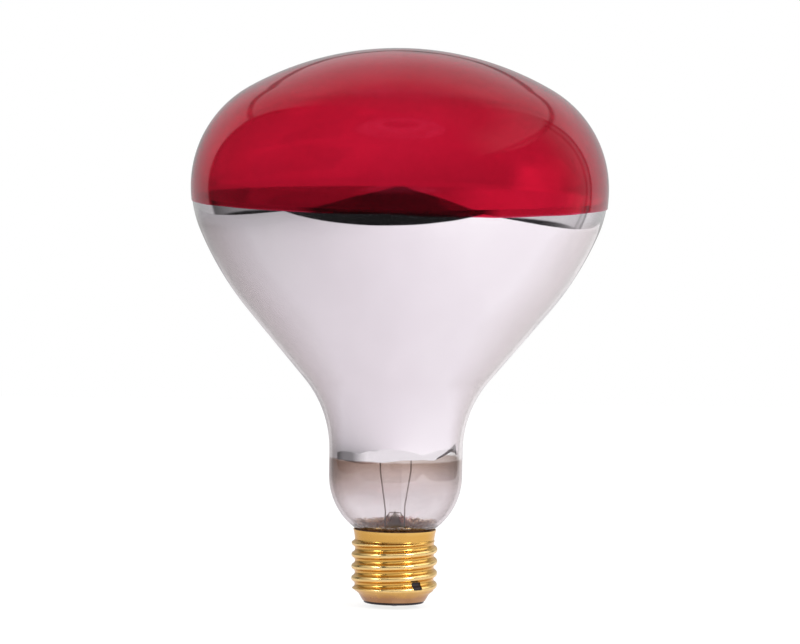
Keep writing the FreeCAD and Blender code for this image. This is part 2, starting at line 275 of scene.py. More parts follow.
bloom_end = fade_over(tree, uneven_height(tree, 160, 0.8 * MM), bloom_stop, 0.3 * MM)
bloom_and_shade = blend_of(tree, "MIX", bloom_end, bloom_and_shade, bare.outputs["Color"])
ring = fade_over(tree, uneven_height(tree, 900, 2 * MM), ring_top, -0.4 * MM)
speckle = place_noise(tree, 1000, 3)
crust_and_rim_shade = ramp_of(tree, speckle, [
    (0.38, (0.25, 0.10, 0.03)),
    (0.50, (0.86, 0.52, 0.30)),
    (0.62, (1.0, 0.83, 0.64)),
])
# Painted shade with the cement's brown: on the front side only (negative Y), the lowest rim of the glass is
# dark brown, for the shadowed gap over the shell's rim.
cement_brown_and_gap_shade = tree.nodes.new("ShaderNodeRGB")
cement_brown_and_gap_shade.outputs["Color"].default_value = (0.10, 0.045, 0.02, 1)
rim_shade_share = fade_over(tree, uneven_height(tree, 700, 0.6 * MM), rim_dark_top, -0.3 * MM)
rim_shade_share = sum_up(tree, "MULTIPLY", rim_shade_share, fade_over(tree, axes["Y"], 0, -2 * MM))
crust_and_rim_shade = blend_of(tree, "MIX", rim_shade_share, crust_and_rim_shade, cement_brown_and_gap_shade.outputs["Color"])
glass_tint_and_shade = blend_of(tree, "MIX", ring, bloom_and_shade, crust_and_rim_shade)
edge_dark = ramp_of(tree, edge_on.outputs["Facing"], [
    (0.40, (1, 1, 1)),
    (0.72, (0.67, 0.62, 0.60)),
    (0.95, (0.20, 0.16, 0.14)),
])
under_face = fade_over(tree, axes["Z"], edge_shade_to, -2 * MM)
tree.links.new(blend_of(tree, "MULTIPLY", under_face, glass_tint_and_shade, edge_dark), shader.inputs["Base Color"])
veil = sum_up(tree, "MULTIPLY", ring, spread_of(tree, speckle, 0.40, 0.62, 0.92, 0.25))
tree.links.new(spread_of(tree, veil, 0, 1, 1, 0), shader.inputs["Transmission Weight"])
relief(tree, shader, place_noise(tree, 45, 1), 0.08, 0.001)
envelope.data.materials.append(clear_glass)
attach(envelope, "root")
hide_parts("glass_envelope")

# Red lacquer: a thin translucent coat that the face was dipped in, with a slightly wavy edge just under
# the widest circle. It is baked on the outside of the glass.
lacquer_gap = 0.05 * MM
lacquer_out = 0.25 * MM
lacquer_drop = 4.6 * MM
lacquer_edge = equator - lacquer_drop
edge_reach = 4 * MM
edge_wave = 0.3 * MM
edge_ripple = 0.06 * MM
edge_sag = 0.9 * MM


def held(value):
    """A value kept between 0 and 1."""
    return min(1.0, max(0.0, value))


def shoulder_angle(depth, drop):
    """Turn of the shoulder's arc from the face's end to a height under the widest circle."""
    return math.pi / 2 - face_turn + math.asin(drop / (shoulder_radius - depth))


lacquer = begin_outline("lacquer", 0, apex + lacquer_out)
arc_about(0, face_height, face_turn, 22)
arc_about(shoulder_centre, equator, shoulder_angle(-lacquer_out, lacquer_drop), 26)
run_by(lacquer_gap - lacquer_out, 0)
arc_about(shoulder_centre, equator, -shoulder_angle(-lacquer_out, lacquer_drop), 26)
arc_about(0, face_height, -face_turn, 22)
spin_outline(256)
for point in lacquer.data.vertices:
    near = max(0.0, 1 - (point.co.z - lacquer_edge) / edge_reach)
    wave = noise.noise(Vector((point.co.x * 60, point.co.y * 60, 3.1)))
    ripple = noise.noise(Vector((point.co.x * 400, point.co.y * 400, 7.7)))
    sag = held(point.co.x / (0.45 * bulb_radius))
    point.co.z += near * (edge_wave * wave + edge_ripple * ripple - edge_sag * sag)

red_coat, tree, shader = new_finish("red_lacquer")
shader.inputs["Transmission Weight"].default_value = 1
shader.inputs["IOR"].default_value = 1.45
tree.links.new(ramp_of(tree, place_noise(tree, 28, 4, (1, 1, 0.35)), [
    (0.30, (0.74, 0.072, 0.160)),
    (0.50, (0.79, 0.086, 0.185)),
    (0.70, (0.83, 0.100, 0.210)),
]), shader.inputs["Base Color"])
tree.links.new(spread_of(tree, place_noise(tree, 60, 3), 0.3, 0.7, 0.02, 0.07), shader.inputs["Roughness"])
relief(tree, shader, place_noise(tree, 70, 2), 0.06, 0.001)
lacquer.data.materials.append(red_coat)
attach(lacquer, "root")
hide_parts("red_lacquer")

# Mirror: aluminium boiled off inside the bulb before it is sealed, so that it lies on the inside of the
# flank. Its upper edge hides behind the lacquer and its lower edge ends unevenly on the neck.
mirror_depth = 0.95 * MM
mirror_thickness = 0.2 * MM
mirror_overlap = 1.5 * MM
mirror_low = bowl_height + 6.0 * MM
mirror_top = lacquer_edge + mirror_overlap
uneven_zone = 9 * MM
tear_start = 308
tear_peak = 334
tear_end = 337
tear_height = 2.6
tear_shade_fade = 1.8 * MM
start_turn = math.asin((lacquer_drop - mirror_overlap) / (shoulder_radius - mirror_depth))
mirror = begin_outline(
    "mirror",
    shoulder_centre + (shoulder_radius - mirror_depth) * math.cos(start_turn),
    mirror_top,
)
arc_about(shoulder_centre, equator, shoulder_turn - start_turn, 10)
arc_about(flank_centre, flank_height, cone_turn - shoulder_turn, 14)
run_by(-cone_width, -cone_rise, 6)
arc_about(neck_radius + fillet_radius, fillet_height, -cone_turn, 44)
run_by(0, mirror_low - fillet_height, 5)
run_by(-mirror_thickness, 0)
run_by(0, fillet_height - mirror_low, 5)
arc_about(neck_radius + fillet_radius, fillet_height, cone_turn, 44)
run_by(cone_width, cone_rise, 6)
arc_about(flank_centre, flank_height, shoulder_turn - cone_turn, 14)
arc_about(shoulder_centre, equator, start_turn - shoulder_turn, 10)
bpy.ops.mesh.select_all(action="SELECT")
bpy.ops.mesh.remove_doubles(threshold=2e-6)
bpy.ops.mesh.select_all(action="DESELECT")
bpy.ops.object.mode_set(mode="OBJECT")
for point in mirror.data.vertices:
    point.select = point.co.z > mirror_top - 0.1 * MM
bpy.ops.object.mode_set(mode="EDIT")
bpy.ops.mesh.edge_face_add()
spin_outline(256)


def bump_at(angle, middle, width):
    """A rounded bump of height 1 round an angle in degrees."""
    off = (angle - middle + 180) % 360 - 180
    return math.exp(-((off / width) ** 2))


def tear_at(angle):
    """Share of the tear's height at an angle in degrees: a long slope that breaks off at its top."""
    if angle < tear_peak:
        return max(0.0, (angle - tear_start) / (tear_peak - tear_start))
    return max(0.0, 1 - (angle - tear_peak) / (tear_end - tear_peak))


def mirror_edge(angle):
    """Height of the mirror's uneven lower edge over its even line, at an angle in degrees."""
    tilt = 0.6 * math.cos(math.radians(angle - 20)) + 1.5 * bump_at(angle, 352, 14)
    dips = 0.4 * bump_at(angle, 282, 16) - 0.75 * bump_at(angle, 240, 16)
    coarse = 0.16 * noise.noise(Vector((angle * 0.11, 4.2, 1.0)))
    fine = 0.08 * noise.noise(Vector((angle * 0.6, 1.2, 5.0)))
    return (tilt + dips + tear_height * tear_at(angle) + coarse + fine) * MM


def wall_depth(r, z):
    """Depth of a point under the outside of the neck or its fillet."""
    if z < fillet_height:
        return neck_radius - r
    return math.hypot(neck_radius + fillet_radius - r, z - fillet_height) - fillet_radius


def wall_radius(depth, z):
    """Radius at a depth under the outside of the neck or its fillet."""
    rise = max(0.0, z - fillet_height)
    return neck_radius + fillet_radius - math.sqrt((fillet_radius + depth) ** 2 - rise**2)


# Painted shade: a dark band on the mirror just over its torn edge, for the shade of the lifted flake,
# fading out upwards.
tear_shade = mirror.data.attributes.new("tear_shade", "FLOAT", "POINT")
for point in mirror.data.vertices:
    near = 1 - (point.co.z - mirror_low) / uneven_zone
    if near > 0:
        out = math.hypot(point.co.x, point.co.y)
        depth = wall_depth(out, point.co.z)
        angle = math.degrees(math.atan2(point.co.y, point.co.x)) % 360
        point.co.z += near**2 * mirror_edge(angle)
        over = (point.co.z - mirror_low - mirror_edge(angle)) / tear_shade_fade
        if tear_at(angle) > 0:
            tear_shade.data[point.index].value = max(0.0, 0.25 + 0.7 * tear_at(angle) - over)
        reach = wall_radius(depth, point.co.z) / out
        point.co.x *= reach
        point.co.y *= reach
mirror_coat, tree, shader = new_finish("mirror")
shader.inputs["Metallic"].default_value = 1
silver = ramp_of(tree, place_noise(tree, 34, 5, (1, 1, 0.2)), [
    (0.25, (0.85, 0.81, 0.84)),
    (0.55, (0.90, 0.86, 0.89)),
    (0.80, (0.93, 0.90, 0.92)),
])
# Painted shade over the tear: the mirror's colour goes dark grey just above its torn edge.
tear_shade_input = tree.nodes.new("ShaderNodeAttribute")
tear_shade_input.attribute_name = "tear_shade"
painted_tear_shade = ramp_of(tree, tear_shade_input.outputs["Fac"], [
    (0.02, (1, 1, 1)),
    (0.14, (0.22, 0.20, 0.20)),
    (1.0, (0.12, 0.11, 0.11)),
])
tree.links.new(blend_of(tree, "MULTIPLY", 1.0, silver, painted_tear_shade), shader.inputs["Base Color"])
tree.links.new(spread_of(tree, place_noise(tree, 50, 4), 0.3, 0.7, 0.02, 0.06), shader.inputs["Roughness"])
relief(tree, shader, place_noise(tree, 55, 2, (1, 1, 0.3)), 0.10, 0.001)
mirror.data.materials.append(mirror_coat)
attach(mirror, "root")
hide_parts("mirror_coat")

# Stem: lead glass with a trumpet flare sealed to the bulb's tail and a press pinched flat round the wires.
# The exhaust tube is melted into it from below, and the arbor rod with its button stands on top.
flare_edge = 9.765 * MM
flare_low = 12.6 * MM
stem_wall = 0.7 * MM
stem_tube = 5.0 * MM
flare_arc = flare_edge - stem_tube
flare_middle = flare_low + stem_wall + flare_arc
press_start = flare_middle + 1.0 * MM
press_low = press_start + 4.0 * MM
press_high = press_low + 1.2 * MM
press_top = press_high + 4.5 * MM
press_swell = 0.2 * MM
press_flatness = 0.615
nub = 1.75 * MM


def eased(value):
    """A value kept between 0 and 1, with a soft start and end."""
    return held(value) ** 2 * (3 - 2 * held(value))


stem = begin_outline("stem", 0, press_start)
run_by(stem_tube - stem_wall, 0, 3)
run_by(0, flare_middle - press_start)
arc_about(flare_edge, flare_middle, -math.pi / 2, 10)
run_by(0, stem_wall)
arc_about(flare_edge, flare_middle, math.pi / 2, 10)
run_by(0, press_start - flare_middle)
run_by(press_swell, press_low - press_start, 8)
run_by(0, press_high - press_low, 3)
run_by(nub - stem_tube - press_swell, press_top - press_high, 12)
run_by(-nub, 0, 2)
spin_outline(96)
for point in stem.data.vertices:
    pinch = eased((point.co.z - press_start) / (press_low - press_start))
    back = held((point.co.z - press_high) / (press_top - press_high))
    point.co.y *= 1 - press_flatness * pinch * (1 - back)

stem_glass, tree, shader = new_finish("stem_glass")
shader.inputs["Transmission Weight"].default_value = 1
shader.inputs["IOR"].default_value = 1.04
# The stem is darker grey-brown and rougher under a tent-shaped line that falls away from the top of the
# press at the axis.
aside = sum_up(tree, "ABSOLUTE", own_axes(tree)["X"])
cone = sum_up(tree, "MULTIPLY_ADD", aside, 1.6, uneven_height(tree, 900, 0.8 * MM))
clear_share = spread_of(tree, cone, press_top + 0.3 * MM, press_top + 1.2 * MM, 0, 1)
tree.links.new(ramp_of(tree, clear_share, [
    (0.0, (0.50, 0.46, 0.43)),
    (1.0, (0.975, 0.965, 0.96)),
]), shader.inputs["Base Color"])
tree.links.new(spread_of(tree, clear_share, 0, 1, 0.35, 0.03), shader.inputs["Roughness"])
stem.data.materials.append(stem_glass)
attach(stem, "root")
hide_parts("stem")


def refinish(node, finish):
    """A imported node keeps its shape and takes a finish."""
    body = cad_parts[node]
    body.data.materials.clear()
    body.data.materials.append(finish)


for rod in ("exhaust_tube", "arbor"):
    refinish(rod, stem_glass)

# Lead and support wires: nickel leads inside, copper leads in the cap, molybdenum hooks in the button.
# All are drawn wire, bent on a jig and melted into the glass.


def wire_finish(name, dark, light, rough):
    """Drawn wire: bare metal with faint marks along it."""
    finish, tree, shader = new_finish(name)
    shader.inputs["Metallic"].default_value = 1
    grain = place_noise(tree, 700, 3, (1, 1, 0.2))
    tree.links.new(ramp_of(tree, grain, [(0.3, dark), (0.7, light)]), shader.inputs["Base Color"])
    tree.links.new(spread_of(tree, grain, 0.3, 0.7, rough, rough + 0.15), shader.inputs["Roughness"])
    return finish


nickel = wire_finish("nickel_wire", (0.44, 0.41, 0.39), (0.58, 0.55, 0.52), 0.28)
copper = wire_finish("copper_wire", (0.62, 0.28, 0.16), (0.80, 0.42, 0.26), 0.25)
molybdenum = wire_finish("molybdenum_wire", (0.36, 0.36, 0.37), (0.50, 0.50, 0.52), 0.25)
for node in ("inner_lead_left", "inner_lead_right"):
    refinish(node, nickel)
for node in ("outer_lead_centre", "outer_lead_side"):
    refinish(node, copper)
for node in ("support_left", "support_back", "support_right"):
    refinish(node, molybdenum)

# Filament: tungsten wire wound into a close coil and hung as an open ring through the support hooks.
# One turn is swept into a straight coil, and the coil is then laid round the ring.
ring_radius = 11 * MM
ring_height = press_top + 40 * MM
ring_turn = math.radians(270)
coil_radius = 0.5 * MM
coil_wire = 0.07 * MM
coil_turns = 180
bpy.ops.object.select_all(action="DESELECT")
bpy.ops.mesh.primitive_circle_add(
    vertices=6, radius=coil_wire, location=(coil_radius, 0, 0), rotation=(math.pi / 2, 0, 0)
)
filament = bpy.context.object
filament.name = "filament_coil"
filament.data.name = "filament_coil"
bpy.ops.object.transform_apply(location=True, rotation=True, scale=True)
winding = filament.modifiers.new("winding", "SCREW")
winding.axis = "Z"
winding.angle = 2 * math.pi
winding.screw_offset = ring_turn * ring_radius / coil_turns
winding.iterations = coil_turns
winding.steps = 12
winding.render_steps = 12
winding.use_merge_vertices = False
bpy.ops.object.modifier_apply(modifier="winding")
for point in filament.data.vertices:
    along = -math.pi / 4 + point.co.z / ring_radius
    out = ring_radius + point.co.x
    point.co = (out * math.cos(along), out * math.sin(along), ring_height + point.co.y)
bpy.ops.object.mode_set(mode="EDIT")
bpy.ops.mesh.select_all(action="SELECT")
bpy.ops.mesh.remove_doubles(threshold=1e-7)
bpy.ops.mesh.select_all(action="DESELECT")
bpy.ops.mesh.select_non_manifold()
bpy.ops.mesh.edge_face_add()
bpy.ops.mesh.select_all(action="SELECT")
bpy.ops.mesh.normals_make_consistent(inside=False)
bpy.ops.object.mode_set(mode="OBJECT")
bpy.ops.object.shade_smooth()
tungsten = wire_finish("tungsten", (0.20, 0.20, 0.21), (0.32, 0.32, 0.33), 0.35)
filament.data.materials.append(tungsten)
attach(filament, "root")
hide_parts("filament")

# Screw shell: thin brass, drawn to a cup and rolled between two dies, so that the thread shows outside and
# inside alike. It fades out under a plain flared collar and tapers in at the foot, with a window pressed
# through its last turn.
thread_pitch = 3.629 * MM
thread_arc = 0.2824 * thread_pitch
crest_radius = 13.15 * MM
crest_centre = crest_radius - thread_arc
root_centre = crest_centre + math.sqrt(4 * thread_arc**2 - thread_pitch**2 / 4)
root_land = root_centre - 0.94 * thread_arc
first_crest = 4.95 * MM
thread_runout = 1.1 * MM
runout_lead = 0.4 * MM
shell_foot = 1.9 * MM
foot_radius = 9.55 * MM
foot_height = 2.25 * MM
foot_lean = 0.6
taper_lean = math.tan(math.radians(55))
foot_blend = 0.4 * MM
taper_blend = 0.3 * MM
collar_low = rim_height - 3.7 * MM
collar_flare = 0.55 * MM
shell_wall = 0.3 * MM
window_angle = math.radians(304)
window_width = 3.2 * MM
window_height = 2.4 * MM
window_rise = 7.3 * MM
window_corner = 0.45 * MM


def soft_least(a, b, blend):
    """The lesser of two radii with a rounded change between them."""
    share = held(0.5 + (b - a) / (2 * blend))
    return b + (a - b) * share - blend * share * (1 - share)


def rolled_radius(height, angle):
    """Outside radius of the shell at a height, and at an angle round the axis."""
    turn_rise = thread_pitch * (angle - math.pi) / (2 * math.pi)
    off = abs((height - first_crest - turn_rise + thread_pitch / 2) % thread_pitch - thread_pitch / 2)
    if off < thread_pitch / 4:
        radius = crest_centre + math.sqrt(thread_arc**2 - off**2)
    else:
        radius = root_centre - math.sqrt(thread_arc**2 - (thread_pitch / 2 - off) ** 2)
    fade = eased((height - collar_low + runout_lead) / thread_runout)
    flare = held((height - collar_low) / (rim_height - collar_low))
    radius = radius + (root_land - radius) * fade + collar_flare * flare**1.6
    foot = foot_radius + (height - shell_foot) * foot_lean
    taper = foot_radius + foot_height * foot_lean + (height - shell_foot - foot_height) * taper_lean
    return soft_least(radius, -soft_least(-foot, -taper, foot_blend), taper_blend)


shell = begin_outline("screw_cap_shell", root_land, shell_foot)
run_by(0, rim_height - shell_foot, 156)
spin_outline(168)
for point in shell.data.vertices:
    angle = math.atan2(point.co.y, point.co.x)
    reach = rolled_radius(point.co.z, angle) / root_land
    point.co.x *= reach
    point.co.y *= reach
thickness = shell.modifiers.new("thickness", "SOLIDIFY")
thickness.thickness = shell_wall
thickness.offset = -1
bpy.ops.object.modifier_apply(modifier="thickness")

bpy.ops.object.select_all(action="DESELECT")
bpy.ops.mesh.primitive_cube_add(
    size=1, location=(12.6 * MM, 0, window_rise), scale=(4 * MM, window_width, window_height)
)
punch = bpy.context.object
bpy.ops.object.transform_apply(location=True, rotation=True, scale=True)
bpy.ops.object.mode_set(mode="EDIT")
bpy.ops.mesh.select_all(action="SELECT")
bpy.ops.transform.rotate(value=-window_angle, orient_axis="Z", center_override=(0, 0, 0))
bpy.ops.mesh.bevel(offset=window_corner, segments=3)
bpy.ops.object.mode_set(mode="OBJECT")
bpy.ops.object.select_all(action="DESELECT")
shell.select_set(True)
bpy.context.view_layer.objects.active = shell
pressing = shell.modifiers.new("pressing", "BOOLEAN")
pressing.operation = "DIFFERENCE"
pressing.solver = "EXACT"
pressing.object = punch
bpy.ops.object.modifier_apply(modifier="pressing")
bpy.data.objects.remove(punch)
bpy.ops.object.shade_smooth_by_angle(angle=math.radians(50))
groove = shell.data.attributes.new("groove", "FLOAT", "POINT")
for point in shell.data.vertices:
    groove.data[point.index].value = held((crest_radius - math.hypot(point.co.x, point.co.y)) / MM)

brass, tree, shader = new_finish("brass")
shader.inputs["Metallic"].default_value = 1
depth = tree.nodes.new("ShaderNodeAttribute")
depth.attribute_name = "groove"
stain = place_noise(tree, 160, 5)
tarnish = sum_up(tree, "MULTIPLY_ADD", stain, 0.5, depth.outputs["Fac"])
gold = ramp_of(tree, tarnish, [
    (0.15, (0.95, 0.70, 0.32)),
    (0.55, (0.88, 0.57, 0.18)),
    (0.95, (0.74, 0.42, 0.10)),
])
# Partly painted shade: below about 4 to 6 mm the brass is a copper tone, darkened further for the shadowed
# floor that the foot faces.
copper_and_shade_share = spread_of(tree, uneven_height(tree, 500, 1.4 * MM), 3.9 * MM, 5.6 * MM, 0, 1)
copper_and_shaded_foot = ramp_of(tree, stain, [(0.3, (0.36, 0.18, 0.085)), (0.7, (0.54, 0.31, 0.16))])
tree.links.new(blend_of(tree, "MIX", copper_and_shade_share, copper_and_shaded_foot, gold), shader.inputs["Base Color"])
tree.links.new(spread_of(tree, stain, 0.3, 0.7, 0.20, 0.34), shader.inputs["Roughness"])
relief(tree, shader, place_noise(tree, 420, 4, (1, 1, 2.5)), 0.05, 0.0003)
shell.data.materials.append(brass)
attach(shell, "root")
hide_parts("screw_shell")

# Insulator: black glass poured hot into the shell's foot, so that it takes the thread's shape from inside
# and shows in the window. Its skirt stands out under the shell's edge.
insulator_low = 1.1 * MM
insulator_top = 9.1 * MM
skirt = foot_radius - shell_wall * math.hypot(1, foot_lean)
insulator = begin_outline("insulator_glass", 0, insulator_low)
run_by(skirt - 0.6 * MM, 0, 7)
run_by(0.35 * MM, 0.08 * MM)
run_by(0.17 * MM, 0.12 * MM)
run_by(0.08 * MM, 0.15 * MM)
run_by(0, insulator_top - insulator_low - 0.35 * MM, 58)
run_by(-skirt, 0, 6)
spin_outline(168)
for point in insulator.data.vertices:
    out = math.hypot(point.co.x, point.co.y)
    if point.co.z > shell_foot and out > skirt - 0.05 * MM:
        angle = math.atan2(point.co.y, point.co.x)
        reach = max(skirt, rolled_radius(point.co.z, angle) - shell_wall * 1.35) / out
        point.co.x *= reach
        point.co.y *= reach
black_glass, tree, shader = new_finish("black_glass")
tree.links.new(ramp_of(tree, place_noise(tree, 260, 4), [
    (0.3, (0.010, 0.007, 0.008)),
    (0.7, (0.028, 0.020, 0.024)),
]), shader.inputs["Base Color"])
shader.inputs["Specular IOR Level"].default_value = 0.25
tree.links.new(spread_of(tree, place_noise(tree, 400, 3), 0.3, 0.7, 0.25, 0.45), shader.inputs["Roughness"])
relief(tree, shader, place_noise(tree, 300, 3), 0.2, 0.0003)
insulator.data.materials.append(black_glass)
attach(insulator, "root")
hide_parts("insulator")

# Centre contact: a stamped brass disc with an eyelet, pressed into the insulator while that is soft.
# The centre lead comes out through the eyelet.
contact_low = 0.7 * MM
contact_radius = 4.75 * MM
eyelet = 0.7 * MM
eyelet_lip = 0.15 * MM
eyelet_wall = 0.3 * MM
eyelet_height = 1.4 * MM
contact = begin_outline("centre_contact_disc", eyelet, insulator_low + eyelet_height)
run_by(0, contact_low + eyelet_lip - insulator_low - eyelet_height, 3)
run_by(eyelet_lip, -eyelet_lip, 2)
run_by(contact_radius - eyelet - 0.45 * MM, 0, 4)
run_by(0.2 * MM, 0.05 * MM)
run_by(0.1 * MM, 0.12 * MM)
run_by(0, insulator_low - contact_low - 0.17 * MM)
run_by(eyelet + eyelet_wall - contact_radius, 0, 3)
run_by(0, eyelet_height)
run_by(-eyelet_wall, 0)
spin_outline(128)
contact_brass, tree, shader = new_finish("contact_brass")
shader.inputs["Metallic"].default_value = 1
scuff = place_noise(tree, 240, 5)
tree.links.new(ramp_of(tree, scuff, [
    (0.3, (0.62, 0.40, 0.15)),
    (0.7, (0.86, 0.62, 0.28)),
]), shader.inputs["Base Color"])
tree.links.new(spread_of(tree, scuff, 0.3, 0.7, 0.22, 0.42), shader.inputs["Roughness"])
relief(tree, shader, place_noise(tree, 900, 3), 0.15, 0.0002)
contact.data.materials.append(contact_brass)
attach(contact, "root")
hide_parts("centre_contact")

# Solder: a drop of soft solder that closes the eyelet over the centre lead, and a bead on the shell's rim
# over the side lead. Both set as lumpy drops.
drop_half = 2.2 * MM
lump_size = 0.09 * MM
lump_free = 0.8 * MM
drop_radius = (drop_half**2 + contact_low**2) / (2 * contact_low)
drop = begin_outline("solder_drop", 0, 0)
arc_about(0, drop_radius, -math.asin(drop_half / drop_radius), 14)
run_by(eyelet - 0.05 * MM - drop_half, 0, 2)
run_by(0, 0.3 * MM)
run_by(0.05 * MM - eyelet, 0, 2)
spin_outline(96)
for point in drop.data.vertices:
    if point.co.z < contact_low - 0.02 * MM:
        lump = noise.noise(Vector((point.co.x * 700, point.co.y * 700, 2.0)))
        point.co.z += lump_size * (lump + 0.35) * held(math.hypot(point.co.x, point.co.y) / lump_free)
solder, tree, shader = new_finish("solder")
shader.inputs["Metallic"].default_value = 1
dull = place_noise(tree, 380, 5)
tree.links.new(ramp_of(tree, dull, [
    (0.3, (0.42, 0.42, 0.43)),
    (0.7, (0.66, 0.66, 0.67)),
]), shader.inputs["Base Color"])
tree.links.new(spread_of(tree, dull, 0.3, 0.7, 0.25, 0.5), shader.inputs["Roughness"])
relief(tree, shader, place_noise(tree, 800, 3), 0.25, 0.0002)
drop.data.materials.append(solder)
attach(drop, "root")
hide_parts("centre_solder")
refinish("side_solder", solder)

# Capping cement: brown baked cement that fills the gap between the glass tail and the shell, and crumbles
# out unevenly along the rim.
cement_inside = 10.70 * MM
cement_low = rim_height - 9.4 * MM
crumb_low = rim_height - 0.8 * MM
crumb_zone = 0.9 * MM
crumb_size = 0.16 * MM
cement = begin_outline("rim_cement", cement_inside, cement_low)
run_by(0, 7.0 * MM, 7)
run_by(0.40 * MM, 1.25 * MM, 5)
run_by(0.83 * MM, 1.17 * MM, 6)
run_by(0.25 * MM, 0.22 * MM, 3)
run_by(0.14 * MM, -0.29 * MM, 3)
run_by(-0.50 * MM, -3.85 * MM, 5)
run_by(-0.05 * MM, -5.5 * MM, 4)
run_by(-1.07 * MM, 0, 2)
spin_outline(256)
for point in cement.data.vertices:
    high = held((point.co.z - crumb_low) / crumb_zone)
    crumb = noise.noise(Vector((point.co.x * 900, point.co.y * 900, point.co.z * 900)))
    large = noise.noise(Vector((point.co.x * 260, point.co.y * 260, 9.0)))
    point.co.z += high * crumb_size * (crumb + large)
crust, tree, shader = new_finish("cement")
speck = place_noise(tree, 620, 6)
tree.links.new(ramp_of(tree, speck, [
    (0.32, (0.035, 0.016, 0.008)),
    (0.48, (0.080, 0.038, 0.020)),
    (0.60, (0.130, 0.068, 0.038)),
    (0.72, (0.270, 0.175, 0.120)),
]), shader.inputs["Base Color"])
shader.inputs["Roughness"].default_value = 0.85
relief(tree, shader, speck, 0.7, 0.0006)
cement.data.materials.append(crust)
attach(cement, "root")
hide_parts("capping_cement")

# Floor: a white table top under the lamp that ends a little in front of it and at its sides, lit evenly.
# Cameras, and rays through glass, see it white, and it keeps a faint shadow; in reflections it has painted
# shade that darkens it towards its left edge.
table_left = -0.43
table_right = 0.33
table_back = 0.75
bpy.ops.object.select_all(action="DESELECT")
bpy.ops.mesh.primitive_plane_add(size=1, location=(0, 0, 0))
floor = bpy.context.object
floor.name = "floor"
corners = ((table_left, -0.20), (table_right, -0.32), (table_left, table_back), (table_right, table_back))
for point, corner in zip(floor.data.vertices, corners):
    point.co = (*corner, -0.0002)
white_sheet = bpy.data.materials.new("white_sheet")
white_sheet.use_nodes = True
tree = white_sheet.node_tree
tree.nodes.clear()
result = tree.nodes.new("ShaderNodeOutputMaterial")
paper = tree.nodes.new("ShaderNodeBsdfDiffuse")
paper.inputs["Color"].default_value = (0.9, 0.9, 0.9, 1)
glow = tree.nodes.new("ShaderNodeEmission")
glow.inputs["Strength"].default_value = 1.06
blend = tree.nodes.new("ShaderNodeMixShader")
rays = tree.nodes.new("ShaderNodeLightPath")
# Painted shade, seen only in reflections: the floor gets darker towards its left edge.
mirrored_floor_shade = ramp_of(tree, spread_of(tree, own_axes(tree)["X"], -0.5, 0.5, 0, 1), [
    (0.0, (0.05, 0.047, 0.05)),
    (0.20, (0.25, 0.235, 0.25)),
    (0.35, (0.52, 0.49, 0.515)),
    (0.45, (0.72, 0.68, 0.715)),
    (0.50, (0.80, 0.76, 0.80)),
    (0.60, (0.90, 0.87, 0.90)),
    (1.0, (0.96, 0.945, 0.96)),
])
plain = tree.nodes.new("ShaderNodeRGB")
plain.outputs["Color"].default_value = (1, 1, 1, 1)
bounced = spread_of(tree, rays.outputs["Glossy Depth"], 0.4, 0.6, 0, 1)
tree.links.new(blend_of(tree, "MIX", bounced, plain.outputs["Color"], mirrored_floor_shade), glow.inputs["Color"])
seen = sum_up(tree, "MAXIMUM", rays.outputs["Is Camera Ray"], rays.outputs["Is Glossy Ray"])
seen = sum_up(tree, "MAXIMUM", seen, rays.outputs["Is Transmission Ray"])
tree.links.new(sum_up(tree, "MULTIPLY", seen, 0.75), blend.inputs["Fac"])
tree.links.new(paper.outputs["BSDF"], blend.inputs[1])
tree.links.new(glow.outputs["Emission"], blend.inputs[2])
tree.links.new(blend.outputs["Shader"], result.inputs["Surface"])
floor.data.materials.append(white_sheet)

# Studio: white walls behind and beside the lamp, a dim ceiling and a dark opening in front.
# What is seen straight or through clear glass is white, and only mirrored rays see the room.
world = bpy.data.worlds.new("studio")
bpy.context.scene.world = world
world.use_nodes = True
world.cycles.sampling_method = "NONE"
tree = world.node_tree
tree.nodes.clear()
result = tree.nodes.new("ShaderNodeOutputWorld")
light = tree.nodes.new("ShaderNodeBackground")
light.inputs["Color"].default_value = (1, 1, 1, 1)
tree.links.new(light.outputs["Background"], result.inputs["Surface"])
way = tree.nodes.new("ShaderNodeTexCoord")
split = tree.nodes.new("ShaderNodeSeparateXYZ")
tree.links.new(way.outputs["Generated"], split.inputs["Vector"])


def times(first, second):
    """The product of two of the studio's values."""
    return sum_up(tree, "MULTIPLY", first, second)


def plus(first, second):
    """The sum of two of the studio's values."""
    return sum_up(tree, "ADD", first, second)


def less(first, second):
    """One of the studio's values less another."""
    return sum_up(tree, "SUBTRACT", first, second)


def grey_ramp(source, stops):
    """Grey levels along a 0 to 1 value."""
    return ramp_of(tree, source, [(place, (level, level, level)) for place, level in stops])


across = split.outputs["X"]
up = split.outputs["Z"]
level_share = sum_up(tree, "SQRT", sum_up(tree, "MAXIMUM", less(1.0, times(up, up)), 0.0001))
backward = sum_up(tree, "DIVIDE", split.outputs["Y"], level_share)
sideways = sum_up(tree, "DIVIDE", across, level_share)
from_middle = sum_up(tree, "ABSOLUTE", sideways)
from_left = spread_of(tree, sideways, -1, 1, 0, 1)
left_wall = spread_of(tree, backward, 0.645, 0.675, 0, 1)
right_wall = grey_ramp(spread_of(tree, backward, -1, 1, 0, 1), [
    (0.52, 0.0),
    (0.62, 0.06),
    (0.70, 0.22),
    (0.776, 0.45),
    (0.783, 0.18),
    (0.792, 0.18),
    (0.799, 0.50),
    (0.817, 0.50),
    (0.823, 0.18),
    (0.832, 0.18),
    (0.840, 0.95),
])
right_top = spread_of(tree, up, 0.585, 0.615, 0, 0.63)
right_top = times(right_top, spread_of(tree, backward, -0.7, -0.3, 0, 1))
right_wall = sum_up(tree, "MAXIMUM", right_wall, right_top)
rightness = sum_up(tree, "GREATER_THAN", sideways, 0.0)
left_wall = times(left_wall, less(1.0, rightness))
